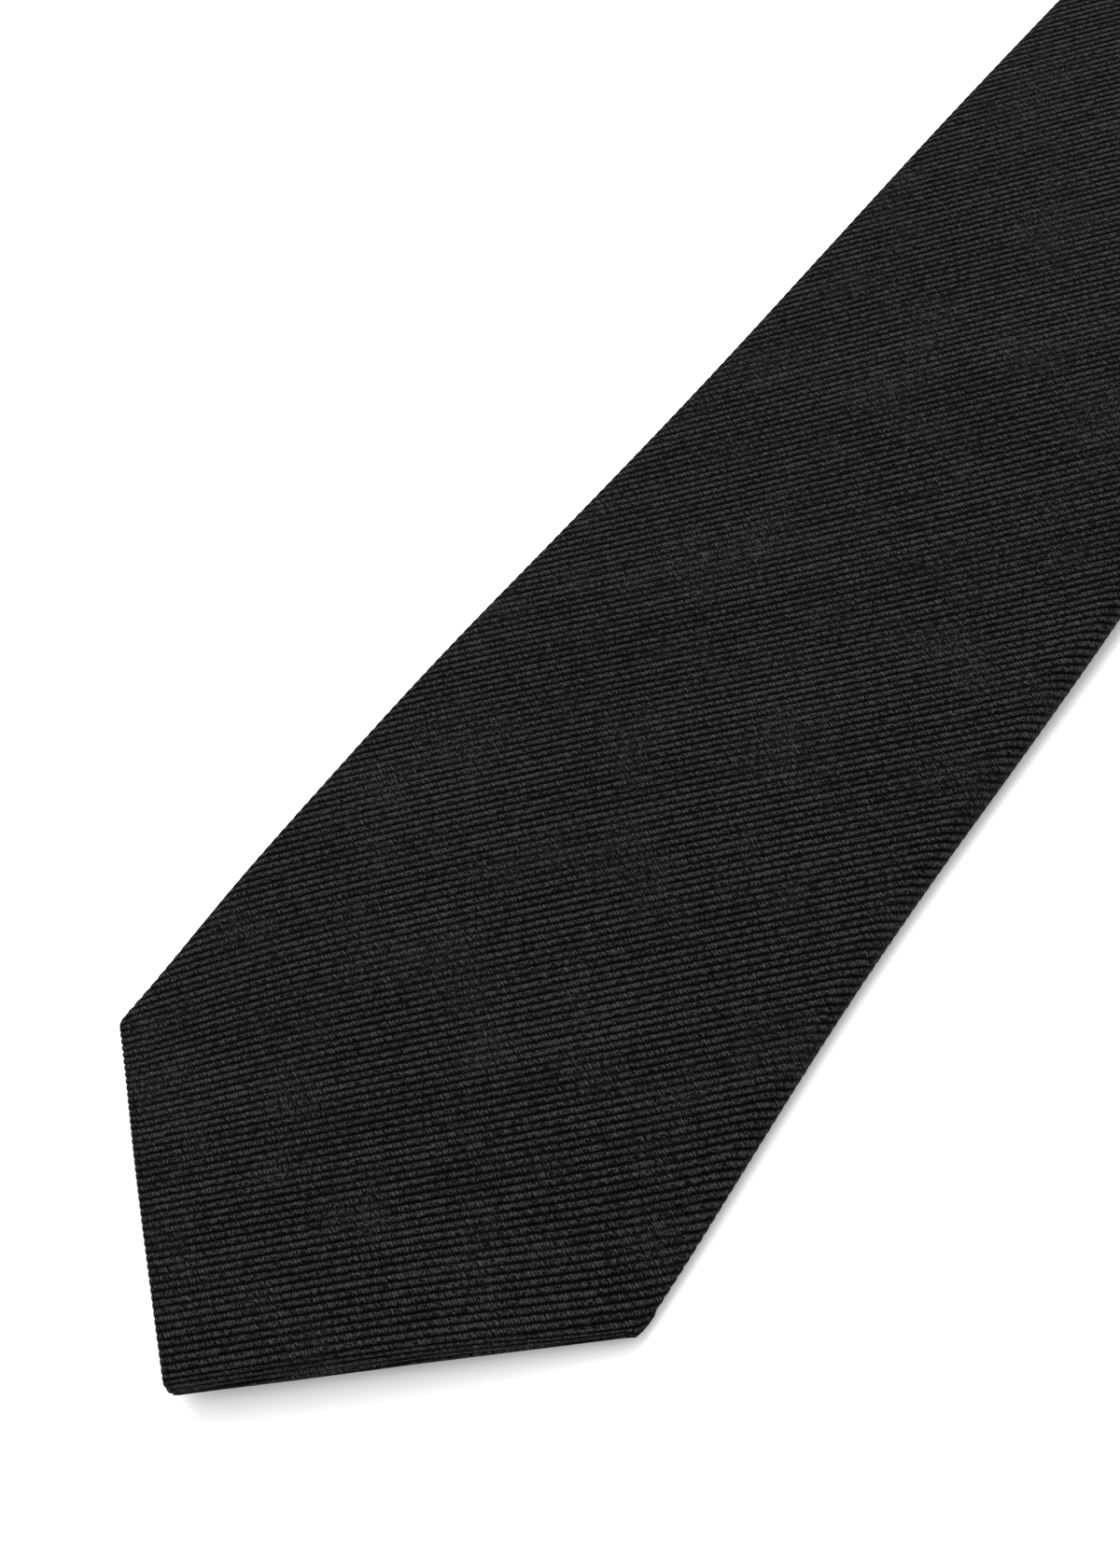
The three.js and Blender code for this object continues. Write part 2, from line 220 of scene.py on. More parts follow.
class Patchwork:
    """Grids of points that become one mesh. uv holds millimetres along and across the ribs."""

    def __init__(self):
        self.points, self.normals, self.uv, self.faces = [], [], [], []
        self.count = 0
        self.flat_area = 0.0

    def grid(self, points, normals, uv, keep=None, flip=False, lift_ribs=True):
        """Add a grid. points is (rows, columns, 3), and keep says which of its quads are there."""
        rows, columns = points.shape[:2]
        index = np.arange(rows * columns).reshape(rows, columns) + self.count
        quads = np.stack([index[:-1, :-1], index[:-1, 1:], index[1:, 1:], index[1:, :-1]], -1)
        if flip:
            quads = quads[..., ::-1]
        if keep is not None:
            quads = quads[keep]
        if lift_ribs:
            opened = 1 + 0.5 * (1 - np.abs(normals[..., 2]))
            points = points + normals * (opened * rib_height(uv[..., 1]))[..., None]
        self.points.append(points.reshape(-1, 3))
        self.normals.append(normals.reshape(-1, 3))
        self.uv.append(uv.reshape(-1, 2))
        self.faces.append(quads.reshape(-1, 4))
        self.count += rows * columns

    def mesh(self, name, place):
        points = place(np.concatenate(self.points))
        faces = np.concatenate(self.faces)
        used, faces = np.unique(faces, return_inverse=True)
        faces = faces.reshape(-1, 4)
        uv = np.concatenate(self.uv)[used]
        me = bpy.data.meshes.new(name)
        me.from_pydata(points[used].tolist(), [], faces.tolist())
        layer = me.uv_layers.new(name="weave")
        layer.data.foreach_set("uv", uv[faces.reshape(-1)].astype(np.float32).reshape(-1))
        me.polygons.foreach_set("use_smooth", np.ones(len(faces), bool))
        work = bmesh.new()
        work.from_mesh(me)
        bmesh.ops.remove_doubles(work, verts=work.verts, dist=WELD)
        work.to_mesh(me)
        work.free()
        obj = bpy.data.objects.new(name, me)
        bpy.context.scene.collection.objects.link(obj)
        return obj


ROW_GAP = 0.02
RIB_AT = np.array([f for f, _ in RIB_SHAPE] + [1.0])
RIB_HIGH = np.array([h for _, h in RIB_SHAPE] + [RIB_SHAPE[0][1]])


def rib_height(c):
    """The ribs' relief at c millimetres across them. Each rib is a little higher or lower."""
    number = np.floor(c / RIB_PITCH)
    uneven = 1 + 0.22 * np.sin(number * 12.9898) * np.sin(number * 4.1)
    return np.interp(c / RIB_PITCH - number, RIB_AT, RIB_HIGH) * uneven


def rib_rows(low, high):
    """Values of c that follow each rib's shape, from low to high."""
    numbers = np.arange(math.floor(low / RIB_PITCH), math.ceil(high / RIB_PITCH) + 1)
    rows = (numbers[:, None] + RIB_AT[None, :-1]).reshape(-1) * RIB_PITCH
    rows = rows[(rows > low + ROW_GAP) & (rows < high - ROW_GAP)]
    return np.concatenate([[low], rows, [high]])


CROWN = 0.05
CORNER_PRESS = 2.0
CORNER_SHARE = 0.4


def thickness_at(x, s, half, pointed):
    """The folded thickness: a slight crown, and the shoulders' corners pressed thin."""
    full = THICKNESS * (1 - CROWN * (x / half(s)) ** 2)
    full = full + 0.10 * np.sin(s / 23.0 + x / 17.0) + 0.07 * np.sin(s / 9.5 - x / 11.0)
    if not pointed:
        return full
    shoulder = half(0.0) / TAN
    corner = np.hypot(np.abs(x) - half(0.0), s - shoulder)
    return full - CORNER_PRESS * np.exp(-((corner / (CORNER_SHARE * half(0.0))) ** 2))


def fold_round(q, kind, side, outer, s, half, pointed):
    """Where a column lies at stations s: x, z, outward normal's x and z, and the place on the
    unfolded cloth. q runs along each stretch from 0 to 1; outer is the side whose flap laps."""
    inner = half(s) - ROLL
    zero = np.zeros_like(s)
    if kind == "front":
        return q * inner, thickness_at(q * inner, s, half, pointed), zero, zero + 1.0, q * inner
    if kind == "roll":
        angle = q * math.pi
        crease = 1 - 0.10 * math.exp(-(((angle - 2.0) / 0.25) ** 2))
        x = side * (inner + ROLL * math.sin(angle) * crease)
        high = thickness_at(side * inner, s, half, pointed)
        z = high / 2 * (1 + math.cos(angle))
        return x, z, zero + side * math.sin(angle), zero + math.cos(angle), side * (inner + ROLL * angle)
    width = inner + LAP
    if kind == "flap":
        x = side * (inner - q * width)
        z = zero if side == outer else LAP_RISE * smooth(-side * x, LAP - 11, LAP - 3)
        return x, z, zero, zero - 1.0, side * (inner + ROLL * math.pi + q * width)
    # the outer flap's edge, turned in
    angle = min(q * 2, 1.0) * math.pi
    tucked = max(q * 2 - 1, 0.0) * TURN_IN
    x = zero + side * (tucked - LAP - TURN_ROLL * math.sin(angle))
    z = zero + TURN_ROLL * (1 - math.cos(angle))
    cloth = side * (inner + ROLL * math.pi + width + TURN_ROLL * angle + tucked)
    return x, z, zero - side * math.sin(angle), zero - math.cos(angle), cloth


def columns(outer):
    """Each column's place along its stretch, the stretch and its side, from left to right."""
    stretches = (("roll", ROLL_COLUMNS), ("flap", FLAP_COLUMNS), ("turn", TURN_COLUMNS))
    around = {side: [] for side in (-1, 1)}
    for side in (-1, 1):
        for kind, count in stretches:
            if kind != "turn" or side == outer:
                around[side] += [(k / count, kind, side) for k in range(1, count + 1)]
    front = [(q, "front", 0) for q in np.linspace(-1, 1, FRONT_COLUMNS)]
    return around[-1][::-1] + front + around[1]


def wrap_panel(work, half, low, high, pointed, eased, outer):
    """The panel between rib lines c = low and c = high, folded round to the back. On a pointed
    panel everything beyond the point's lines is clamped to them, and the rest left out."""
    rows = rib_rows(low, high)
    extra = [high - e for e in SEAM_ROWS] if eased[1] else []
    extra += [low + e for e in SEAM_ROWS] if eased[0] else []
    allowance = [high + e for e in ALLOWANCE_ROWS] if pointed else []
    rows = np.unique(np.concatenate([rows, extra, allowance]))
    layout = columns(outer)
    points = np.zeros((len(rows), len(layout), 3))
    normals = np.zeros_like(points)
    uv = np.zeros((len(rows), len(layout), 2))
    clamped = np.zeros((len(rows), len(layout)), bool)
    for j, (q, kind, side) in enumerate(layout):
        s = rows / RIB_SIN
        for _ in range(ROW_PASSES):
            x, z, nx, nz, cloth = fold_round(q, kind, side, outer, s, half, pointed)
            s = (rows + RIB_COS * cloth) / RIB_SIN
            if pointed:
                bound = POINT_ROLL / SIN + np.abs(cloth) / TAN
                clamped[:, j] = s < bound
                s = np.maximum(s, bound)
        across = -RIB_COS * cloth + RIB_SIN * s
        along = RIB_SIN * cloth + RIB_COS * s
        drop = 0.0
        for on, edge in zip(eased, (across - low, high - across)):
            if on:
                near = np.clip(1 - edge / SEAM_EASE, 0, 1)
                drop = drop + SEAM_DROP * (1 - np.sqrt(np.clip(1 - near**2, 0, 1)))
                drop = drop + ALLOWANCE_DROP * (edge < -0.1)
        if kind == "turn":
            points[:, j] = np.stack([x, s, z + drop], -1)
        else:
            points[:, j] = np.stack([x - nx * drop, s, z - nz * drop], -1)
        normals[:, j] = np.stack([nx, 0 * nx, nz], -1)
        uv[:, j] = np.stack([along, across], -1)
    inside = ~clamped
    keep = inside[:-1, :-1] | inside[:-1, 1:] | inside[1:, 1:] | inside[1:, :-1]
    work.grid(points, normals, uv, keep)
    tall = np.abs(np.diff(uv[..., 1], axis=0)[:, :-1])
    wide = np.abs(np.diff(uv[..., 0], axis=1)[:-1])
    work.flat_area += float((tall * wide)[keep].sum())


# Steps along a point's edges: more on the left one, which the ribs cross.
EDGE_STEPS = {-1: 60, 1: 26}
POINT_FLOOR = 0.55


def point_edge(work, half, hem, side):
    """One edge of a point: the cloth rolls under and its hem lies inside the back."""
    inner = float(half(0.0)) - ROLL
    count = EDGE_STEPS[side]
    share = np.linspace(0, 1, count)
    angles = np.linspace(0, 1, 45) * math.pi
    hems = np.linspace(0, hem - POINT_ROLL, 14)[1:]
    outward = np.array([side * COS, -SIN])
    rows_p, rows_n, rows_uv = [], [], []
    for kind, value in [("roll", a) for a in angles] + [("hem", h) for h in hems]:
        tucked = value if kind == "hem" else 0.0
        angle = math.pi if kind == "hem" else value
        x0 = tucked * COS + share * inner
        base = np.stack([side * x0, POINT_ROLL / SIN + x0 / TAN], -1)
        crease = 1 - 0.30 * math.exp(-(((angle - CREASE_ANGLE) / 0.13) ** 2))
        out, high = square_round(angle)
        reach = POINT_ROLL * out * crease
        flat = base + outward * (reach - tucked)
        top = thickness_at(base[:, 0], base[:, 1], half, True)
        floor = POINT_FLOOR - sag(base[:, 1])
        z = floor + (top - floor) / 2 * (1 + high)
        cloth = ROLL * angle + tucked
        unfolded = base + outward * cloth
        across = -RIB_COS * unfolded[:, 0] + RIB_SIN * unfolded[:, 1]
        along = RIB_SIN * unfolded[:, 0] + RIB_COS * unfolded[:, 1]
        rows_p.append(np.stack([flat[:, 0], flat[:, 1], z], -1))
        normal = np.array([*(outward * math.sin(angle)), math.cos(angle)])
        rows_n.append(np.tile(normal, (count, 1)))
        rows_uv.append(np.stack([along, across], -1))
    points, normals, uv = np.array(rows_p), np.array(rows_n), np.array(rows_uv)
    if side < 0:
        # finer along the edge, so that each rib that crosses it keeps its shape
        fine = np.linspace(0, count - 1, int(inner / SIN / RIB_PITCH * 5))
        lower = np.minimum(fine.astype(int), count - 2)
        part = (fine - lower)[None, :, None]
        points, normals, uv = (
            (a[:, lower] * (1 - part) + a[:, lower + 1] * part)[::4] for a in (points, normals, uv)
        )
    work.grid(points, normals, uv, flip=side > 0)
    work.flat_area += inner / SIN * (ROLL * math.pi + hem - POINT_ROLL)


def sag(s):
    """How far the point's under layer hangs away from its front."""
    return POINT_SAG * np.clip(1 - s / POINT_SAG_RUN, 0, 1) ** 2


def square_round(angle, squareness=0.62):
    """How far out and how high, from 1 to -1, a pressed edge is at an angle round it."""
    cosine = math.cos(angle)
    return math.sin(angle) ** squareness, math.copysign(abs(cosine) ** 0.85, cosine)


CORNER_SHARPNESS = 14
WEDGE_ROLL = 0.94 * ROLL


def corner_reach(from_start, from_end, end_roll):
    """How far a corner's outline is from its centre, between two edges, a little rounded."""
    near = (math.cos(from_start) / POINT_ROLL) ** CORNER_SHARPNESS
    far = (max(math.cos(from_end), 0.0) / end_roll) ** CORNER_SHARPNESS
    return (near + far) ** (-1 / CORNER_SHARPNESS)


def corner(work, half, start, end, centre, wedge):
    """The rounded corner between two rolled edges. Directions are angles in the plan. A wedge
    fills the triangle between a point's sloping edge and the panel's straight side."""
    turns = np.linspace(start, end, 9)
    angles = np.linspace(0, 1, 13) * math.pi
    top = float(thickness_at(np.array(centre[0]), np.array(centre[1]), half, True))
    end_roll = ROLL if wedge else POINT_ROLL
    points, normals, uv = [], [], []
    for angle in angles:
        line_p, line_n, line_uv = [], [], []
        shifts = [0.0] * len(turns)
        directions = list(turns)
        if wedge:
            helix = ROLL * angle / TAN
            shifts += [helix / 3, helix * 2 / 3, helix]
            directions += [end] * 3
        for turn, shift in zip(directions, shifts):
            out = (math.cos(turn), math.sin(turn))
            share = abs(turn - start) / max(abs(end - start), 1e-6) if wedge else 0.0
            low = (POINT_FLOOR - float(sag(centre[1]))) * (1 - share)
            pressed = square_round(angle)
            roll = WEDGE_ROLL if shift else corner_reach(turn - start, turn - end, end_roll)
            reach = roll * (pressed[0] * (1 - share) + math.sin(angle) * share)
            z = low + (top - low) / 2 * (1 + pressed[1] * (1 - share) + math.cos(angle) * share)
            x, s = centre[0] + out[0] * reach, centre[1] + out[1] * reach + shift
            line_p.append((x, s, z))
            line_n.append((out[0] * math.sin(angle), out[1] * math.sin(angle), math.cos(angle)))
            ux, us = centre[0] + out[0] * ROLL * angle, centre[1] + out[1] * ROLL * angle + shift
            line_uv.append((RIB_SIN * ux + RIB_COS * us, -RIB_COS * ux + RIB_SIN * us))
        points.append(line_p)
        normals.append(line_n)
        uv.append(line_uv)
    work.grid(np.array(points), np.array(normals), np.array(uv), flip=end > start)


# The first rib line of a point, and the sizes of the cloth sheets: a rule of thumb
# from the folded widths, and the centre line's length with something for the slanted ends.
POINT_START = -8.0
BLADE_CLOTH_WIDTH = 2 * BLADE_WIDTH + 8
TAIL_CLOTH_WIDTH = 2.3 * TAIL_WIDTH + 8
NECK_CLOTH_WIDTH = 2.4 * NECK_WIDTH + 4
POINT_EXTRA = 30
NECK_EXTRA = 80


def point_panel(name, half, hem, seam, place, outer, flat_width):
    """A pointed panel, its flat width and length, and its unfolded area."""
    work = Patchwork()
    high = RIB_SIN * seam - SEAM_GAP / 2
    wrap_panel(work, half, POINT_START, high, True, (False, True), outer)
    inner = float(half(0.0)) - ROLL
    for side in (-1, 1):
        point_edge(work, half, hem, side)
        slope = math.atan2(-SIN, side * COS)
        straight = 0.0 if side > 0 else -math.pi
        corner(work, half, slope, straight, (side * inner, POINT_ROLL / SIN + inner / TAN), True)
    corner(work, half, math.atan2(-SIN, -COS), math.atan2(-SIN, COS), (0.0, POINT_ROLL / SIN), False)
    obj = work.mesh(name, place)
    return obj, flat_width, seam + POINT_EXTRA, work.flat_area


def middle_panel(name, low_seam, high_seam):
    """The neck's panel, its flat width and length, and its unfolded area."""
    work = Patchwork()
    low = RIB_SIN * low_seam + SEAM_GAP / 2
    high = RIB_SIN * high_seam - SEAM_GAP / 2
    wrap_panel(work, tie_half, low, high, False, (True, True), 1)
    obj = work.mesh(name, lie)
    return obj, NECK_CLOTH_WIDTH, high_seam - low_seam + NECK_EXTRA, work.flat_area


def turned_lie(points):
    """The tail panel's own coordinates to the row frame."""
    return lie(turned(points))


def bend(obj, before, after, joint):
    """Bake the piece's placement into its mesh."""
    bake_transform(obj)


# ---------------------------------------------------------------- materials


class Nodes:
    """A short way to write node maths."""

    def __init__(self, material):
        self.tree = material.node_tree
        self.tree.nodes.clear()

    def node(self, kind, **settings):
        n = self.tree.nodes.new(kind)
        for key, value in settings.items():
            setattr(n, key, value)
        return n

    def link(self, source, target):
        self.tree.links.new(source, target)

    def math(self, operation, a, b=None, clamp=False):
        n = self.node("ShaderNodeMath", operation=operation, use_clamp=clamp)
        for socket, value in zip(n.inputs, (a, b)):
            if value is None:
                continue
            if isinstance(value, (int, float)):
                socket.default_value = value
            else:
                self.link(value, socket)
        return n.outputs[0]

    def plus(self, a, b, clamp=False):
        return self.math("ADD", a, b, clamp)

    def minus(self, a, b):
        return self.math("SUBTRACT", a, b)

    def times(self, a, b, clamp=False):
        return self.math("MULTIPLY", a, b, clamp)

    def over(self, a, b):
        return self.math("DIVIDE", a, b)

    def range(self, value, low, high, to_low=0.0, to_high=1.0):
        n = self.node("ShaderNodeMapRange", interpolation_type="SMOOTHSTEP")
        self.link(value, n.inputs["Value"])
        for key, v in (("From Min", low), ("From Max", high), ("To Min", to_low), ("To Max", to_high)):
            n.inputs[key].default_value = v
        return n.outputs["Result"]

    def vector(self, x, y, z=0.0):
        n = self.node("ShaderNodeCombineXYZ")
        for socket, value in zip(n.inputs, (x, y, z)):
            if isinstance(value, (int, float)):
                socket.default_value = value
            else:
                self.link(value, socket)
        return n.outputs[0]

    def noise(self, vector, scale, detail=2.0, roughness=0.5):
        n = self.node("ShaderNodeTexNoise")
        self.link(vector, n.inputs["Vector"])
        n.inputs["Scale"].default_value = scale
        n.inputs["Detail"].default_value = detail
        n.inputs["Roughness"].default_value = roughness
        return n.outputs["Fac"]

    def random(self, vector):
        n = self.node("ShaderNodeTexWhiteNoise", noise_dimensions="3D")
        self.link(vector, n.inputs["Vector"])
        return n.outputs["Value"]

    def mix(self, factor, a, b):
        n = self.node("ShaderNodeMix", data_type="RGBA")
        if isinstance(factor, (int, float)):
            n.inputs["Factor"].default_value = factor
        else:
            self.link(factor, n.inputs["Factor"])
        for key, value in (("A", a), ("B", b)):
            socket = [s for s in n.inputs if s.name == key and s.type == "RGBA"][0]
            if isinstance(value, tuple):
                socket.default_value = (*value, 1)
            else:
                self.link(value, socket)
        return [s for s in n.outputs if s.type == "RGBA"][0]

    def finish(self, color, roughness, height=None, bump=0.0, **values):
        shader = self.node("ShaderNodeBsdfPrincipled")
        for key, value in values.items():
            shader.inputs[key.replace("_", " ")].default_value = value
        for key, value in (("Base Color", color), ("Roughness", roughness)):
            if isinstance(value, tuple):
                shader.inputs[key].default_value = (*value, 1)
            elif isinstance(value, (int, float)):
                shader.inputs[key].default_value = value
            else:
                self.link(value, shader.inputs[key])
        if height is not None:
            n = self.node("ShaderNodeBump")
            n.inputs["Strength"].default_value = 1.0
            n.inputs["Distance"].default_value = bump
            self.link(height, n.inputs["Height"])
            self.link(n.outputs["Normal"], shader.inputs["Normal"])
        out = self.node("ShaderNodeOutputMaterial")
        self.link(shader.outputs[0], out.inputs["Surface"])


def new_material(name):
    material = bpy.data.materials.new(name)
    material.use_nodes = True
    return material, Nodes(material)


def weave_axes(n):
    uv = n.node("ShaderNodeUVMap", uv_map="weave").outputs[0]
    split = n.node("ShaderNodeSeparateXYZ")
    n.link(uv, split.inputs[0])
    return uv, split.outputs[0], split.outputs[1]


# The cloth's pattern: how far a rib wavers, in pitches, and the fine warp ends that cross it.
RIB_WAVER = 0.34
ENDS_PITCH = 0.29
ENDS_SLANT = 1.0
# The furrows' painted shade and the weave's dark parts go down to DEEP_BLACK.
DEEP_BLACK = (0.0003, 0.0003, 0.0003)
SOFT_BLACK = (0.032, 0.032, 0.0323)
CONTRAST = 1.45
CLOTH_BUMP = 0.00008


def ribbed_cloth():
    """Black faille: flat light ribs between furrows darkened with painted shade, crossed by fine warp
    ends.
    """
    material, n = new_material("ribbed_cloth")
    uv, along, across = weave_axes(n)
    waver = n.noise(n.vector(n.times(along, 1.3), n.times(across, 1.3)), 1.0, 1.0)
    rib = n.plus(n.over(across, RIB_PITCH), n.times(n.minus(waver, 0.5), RIB_WAVER))
    number = n.math("FLOOR", rib)
    place = n.math("FRACT", rib)
    wander = n.noise(n.vector(n.times(along, 0.9), n.times(number, 7.3)), 1.0)
    ends = n.plus(n.over(along, ENDS_PITCH), n.times(wander, 3.0))
    ends = n.plus(ends, n.times(place, ENDS_SLANT))
    ends = n.plus(ends, n.random(n.vector(number, 3.7)))
    end_place = n.math("ABSOLUTE", n.minus(n.math("FRACT", ends), 0.5))
    gap = n.range(end_place, 0.1, 0.5, 1.0, 0.0)
    tone = n.range(n.noise(n.vector(n.times(ends, 0.8), n.times(number, 7.7)), 1.0), 0.3, 0.7)
    part = n.range(n.noise(n.vector(n.times(ends, 1.3), n.times(rib, 2.7)), 1.0), 0.34, 0.66)
    pit = n.range(part, 0.0, 0.35, 0.1, 1.0)
    edge = n.math("MINIMUM", place, n.minus(1.0, place))
    edge = n.minus(edge, n.times(part, 0.1))
    # The furrows between ribs: this mask darkens them in the colour, which is painted shade in the
    # grooves, and lowers them in the bump.
    groove_shade_and_depth = n.range(edge, -0.04, 0.36)
    broad = n.noise(uv, 0.05, 3.0)
    # Random patches where the grooves' painted shade and depth are weaker.
    fainter_grooves = n.range(n.noise(uv, 0.11, 2.0), 0.45, 0.7, 0.0, 0.45)
    groove_shade_and_depth = n.plus(groove_shade_and_depth, n.times(fainter_grooves, n.minus(0.6, groove_shade_and_depth)))
    fibre = n.noise(n.vector(n.times(along, 4.0), n.times(across, 7.0)), 1.0, 3.0, 0.75)
    rib_tone = n.random(n.vector(number, 9.1))
    # The colour is darkened in the furrows: painted shade in the grooves.
    light = n.times(n.plus(n.times(gap, 0.8), 0.2), groove_shade_and_depth)
    tones = n.times(n.plus(tone, 0.45), n.times(n.plus(part, 0.25), pit))
    light = n.times(light, n.plus(n.times(tones, 1.3), 0.1))
    light = n.times(light, n.plus(n.times(fibre, 2.4), -0.2))
    light = n.times(light, n.plus(n.times(rib_tone, 0.3), 0.85))
    light = n.times(light, n.plus(n.times(broad, 0.5), 0.75), clamp=True)
    light = n.math("POWER", light, CONTRAST)
    color = n.mix(light, DEEP_BLACK, SOFT_BLACK)
    rough = n.plus(0.6, n.times(tone, 0.2))
    height = n.times(n.plus(n.times(gap, 0.6), n.times(part, 0.7)), groove_shade_and_depth)
    n.finish(color, rough, height, CLOTH_BUMP, IOR=1.45, Specular_IOR_Level=0.015, Sheen_Weight=0.01,
             Sheen_Roughness=0.5, Sheen_Tint=(0.6, 0.6, 0.62, 1))
    return material


def satin(name, base, pitch, gloss):
    """A fine woven lining, label or ribbon with a slanting twill line."""
    material, n = new_material(name)
    uv, along, across = weave_axes(n)
    slant = n.plus(n.over(along, pitch), n.over(across, pitch * 0.6))
    line = n.math("ABSOLUTE", n.minus(n.math("FRACT", slant), 0.5))
    yarn = n.random(n.vector(n.math("FLOOR", slant), n.math("FLOOR", n.over(across, pitch))))
    broad = n.noise(uv, 0.12, 3.0)
    light = n.plus(n.times(line, 0.8), n.times(yarn, 0.4))
    light = n.times(light, n.plus(n.times(broad, 0.5), 0.75), clamp=True)
    dark = tuple(0.2 * v for v in base)
    bright = tuple(2.0 * v for v in base)
    color = n.mix(light, dark, bright)
    rough = n.plus(gloss, n.times(yarn, 0.12))
    n.finish(color, rough, line, 0.00004, IOR=1.5, Specular_IOR_Level=0.15, Sheen_Weight=0.03)
    return material


def thread_material():
    """Plied sewing thread."""
    material, n = new_material("thread")
    uv, along, across = weave_axes(n)
    twist = n.plus(n.over(along, 0.45), n.over(across, 0.8))
    ply = n.math("ABSOLUTE", n.minus(n.math("FRACT", twist), 0.5))
    fuzz = n.noise(uv, 2.0, 3.0)
    light = n.plus(n.times(ply, 1.2), n.times(fuzz, 0.4), clamp=True)
    color = n.mix(light, (0.006, 0.006, 0.0065), (0.045, 0.045, 0.048))
    n.finish(color, 0.55, ply, 0.00005, Specular_IOR_Level=0.15, Sheen_Weight=0.05)
    return material


def felt_material():
    """Brushed wool interlining, charcoal as in a black tie."""
    material, n = new_material("interlining_felt")
    uv, along, across = weave_axes(n)
    weave = n.times(n.math("SINE", n.times(along, 5.2)), n.math("SINE", n.times(across, 5.2)))
    fuzz = n.noise(uv, 1.6, 5.0, 0.7)
    light = n.plus(n.times(weave, 0.2), fuzz, clamp=True)
    color = n.mix(light, (0.008, 0.008, 0.0085), (0.035, 0.035, 0.037))
    n.finish(color, 0.95, light, 0.0002, Specular_IOR_Level=0.1, Sheen_Weight=0.1)
    return material


# ---------------------------------------------------------------- pieces

CLOTH_MATERIAL = ribbed_cloth()
LINING_MATERIAL = satin("lining_satin", (0.0065, 0.0065, 0.007), 0.42, 0.42)
LABEL_MATERIAL = satin("label_satin", (0.017, 0.017, 0.0185), 0.5, 0.4)
THREAD_MATERIAL = thread_material()
FELT_MATERIAL = felt_material()


def dress(obj, material, slot_name, *nodes):
    obj.data.materials.clear()
    obj.data.materials.append(material)
    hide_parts(*nodes)


def folded_cloth(made, nodes, before, after, joint):
    obj, width, length, area = made
    dress(obj, CLOTH_MATERIAL, "cloth", *nodes)
    bend(obj, before, after, joint)
    area = min(area * MM * MM, width * length * MM * MM)


folded_cloth(
    point_panel("blade_cloth", blade_half, BLADE_HEM, BLADE_SEAM, lie, 1, BLADE_CLOTH_WIDTH),
    ["blade_shell_lower", "blade_shell_upper"], "blade", "neck_front", "blade_fold",
)
folded_cloth(
    middle_panel("neck_cloth", BLADE_SEAM, TAIL_SEAM),
    ["neck_shell_front", "neck_shell_rear"], "neck_front", "neck_rear", "neck_fold",
)
folded_cloth(
    point_panel("tail_cloth", tail_half, TAIL_HEM, LENGTH - TAIL_SEAM, turned_lie, -1, TAIL_CLOTH_WIDTH),
    ["tail_shell_upper", "tail_shell_lower"], "neck_rear", "tail", "tail_fold",
)


FOLD_STEPS = np.arange(-12, 12.5, 1.5)


def stations_between(low, high, step):
    """Even stations, closer together where the tie folds."""
    values = list(np.linspace(low, high, max(2, int((high - low) / step) + 1)))
    for j in joints.values():
        at = station(j["pos_m"][1])
        values += [at + d for d in FOLD_STEPS if low < at + d < high]
    return np.unique(np.round(values, 3))


def outline_half(s, inset):
    """Half the tie's width at s, points included, moved in by inset."""
    near = np.minimum(s, LENGTH - s)
    return np.minimum(tie_half(s) - inset, 0.3 + near * TAN - inset / COS)


FELT_DROP = 0.25
FOLD_THIN = 13.0
FOLDS = [station(joints[n]["pos_m"][1]) for n in ("blade_fold", "neck_fold", "tail_fold")]


# The interlining is pressed thin round these stations of the edge, each over its own reach.
PRESSED = ((BLADE_SHOULDER, 18.0), (TAIL_SHOULDER, 10.0), (0.0, 7.0), (LENGTH, 5.0))
PLATE_STEP = 8.0
NEAR_ENDS = (1.5, 4, 8, 14, 20, 27)


def plate(name, low, high, z_low, z_high, inset):
    """A closed flat piece that follows the outline, with rolled sides."""
    ends = [max(low, inset / SIN), min(high, LENGTH - inset / SIN)]
    s = stations_between(ends[0], ends[1], PLATE_STEP)
    near_ends = [v for v in NEAR_ENDS if inset / SIN + v < ends[1]]
    extra = [inset / SIN + v for v in near_ends if low < 1]
    extra += [LENGTH - inset / SIN - v for v in near_ends if high > LENGTH - 1]
    s = np.unique(np.concatenate([s, [v for v in extra if ends[0] < v < ends[1]]]))
    half = np.maximum(outline_half(s, inset), 0.2)
    middle, radius = (z_low + z_high) / 2, (z_high - z_low) / 2
    work = Patchwork()
    ring = []
    shares = np.linspace(-1, 1, 9)
    for t in shares:
        ring.append((t, 0.0, radius))
    for a in (0.25, 0.5, 0.75):
        ring.append((1.0, radius * math.sin(a * math.pi), radius * math.cos(a * math.pi)))
    for t in shares[::-1]:
        ring.append((t, 0.0, -radius))
    for a in (0.75, 0.5, 0.25):
        ring.append((-1.0, -radius * math.sin(a * math.pi), radius * math.cos(a * math.pi)))
    ring.append(ring[0])
    flat = np.maximum(half - radius, 0.1)
    points = np.stack([np.stack([t * flat + dx, s, middle + dz + 0 * s], -1) for t, dx, dz in ring], 1)
    for at, reach in PRESSED:
        side = float(tie_half(at)) if 0 < at < LENGTH else 0.0
        away = np.hypot(np.abs(points[..., 0]) - side, points[..., 1] - at)
        pressed = 1 - 0.95 * np.exp(-((away / reach) ** 2))
        points[..., 2] = z_low + (points[..., 2] - z_low) * pressed - FELT_DROP * (1 - pressed)
    for fold in FOLDS:
        slack = 1 - 0.92 * np.exp(-(((points[..., 1] - fold) / FOLD_THIN) ** 4))
        points[..., 2] = middle + (points[..., 2] - middle) * slack
    ends = points[[0, -1]].copy()
    ends[..., 2] = middle
    points = np.concatenate([ends[:1], points, ends[1:]])
    work.grid(points, np.zeros_like(points), points[..., :2].copy(), lift_ribs=False)
    obj = work.mesh(name, lie)
    return obj, float(np.trapz(2 * half, s))


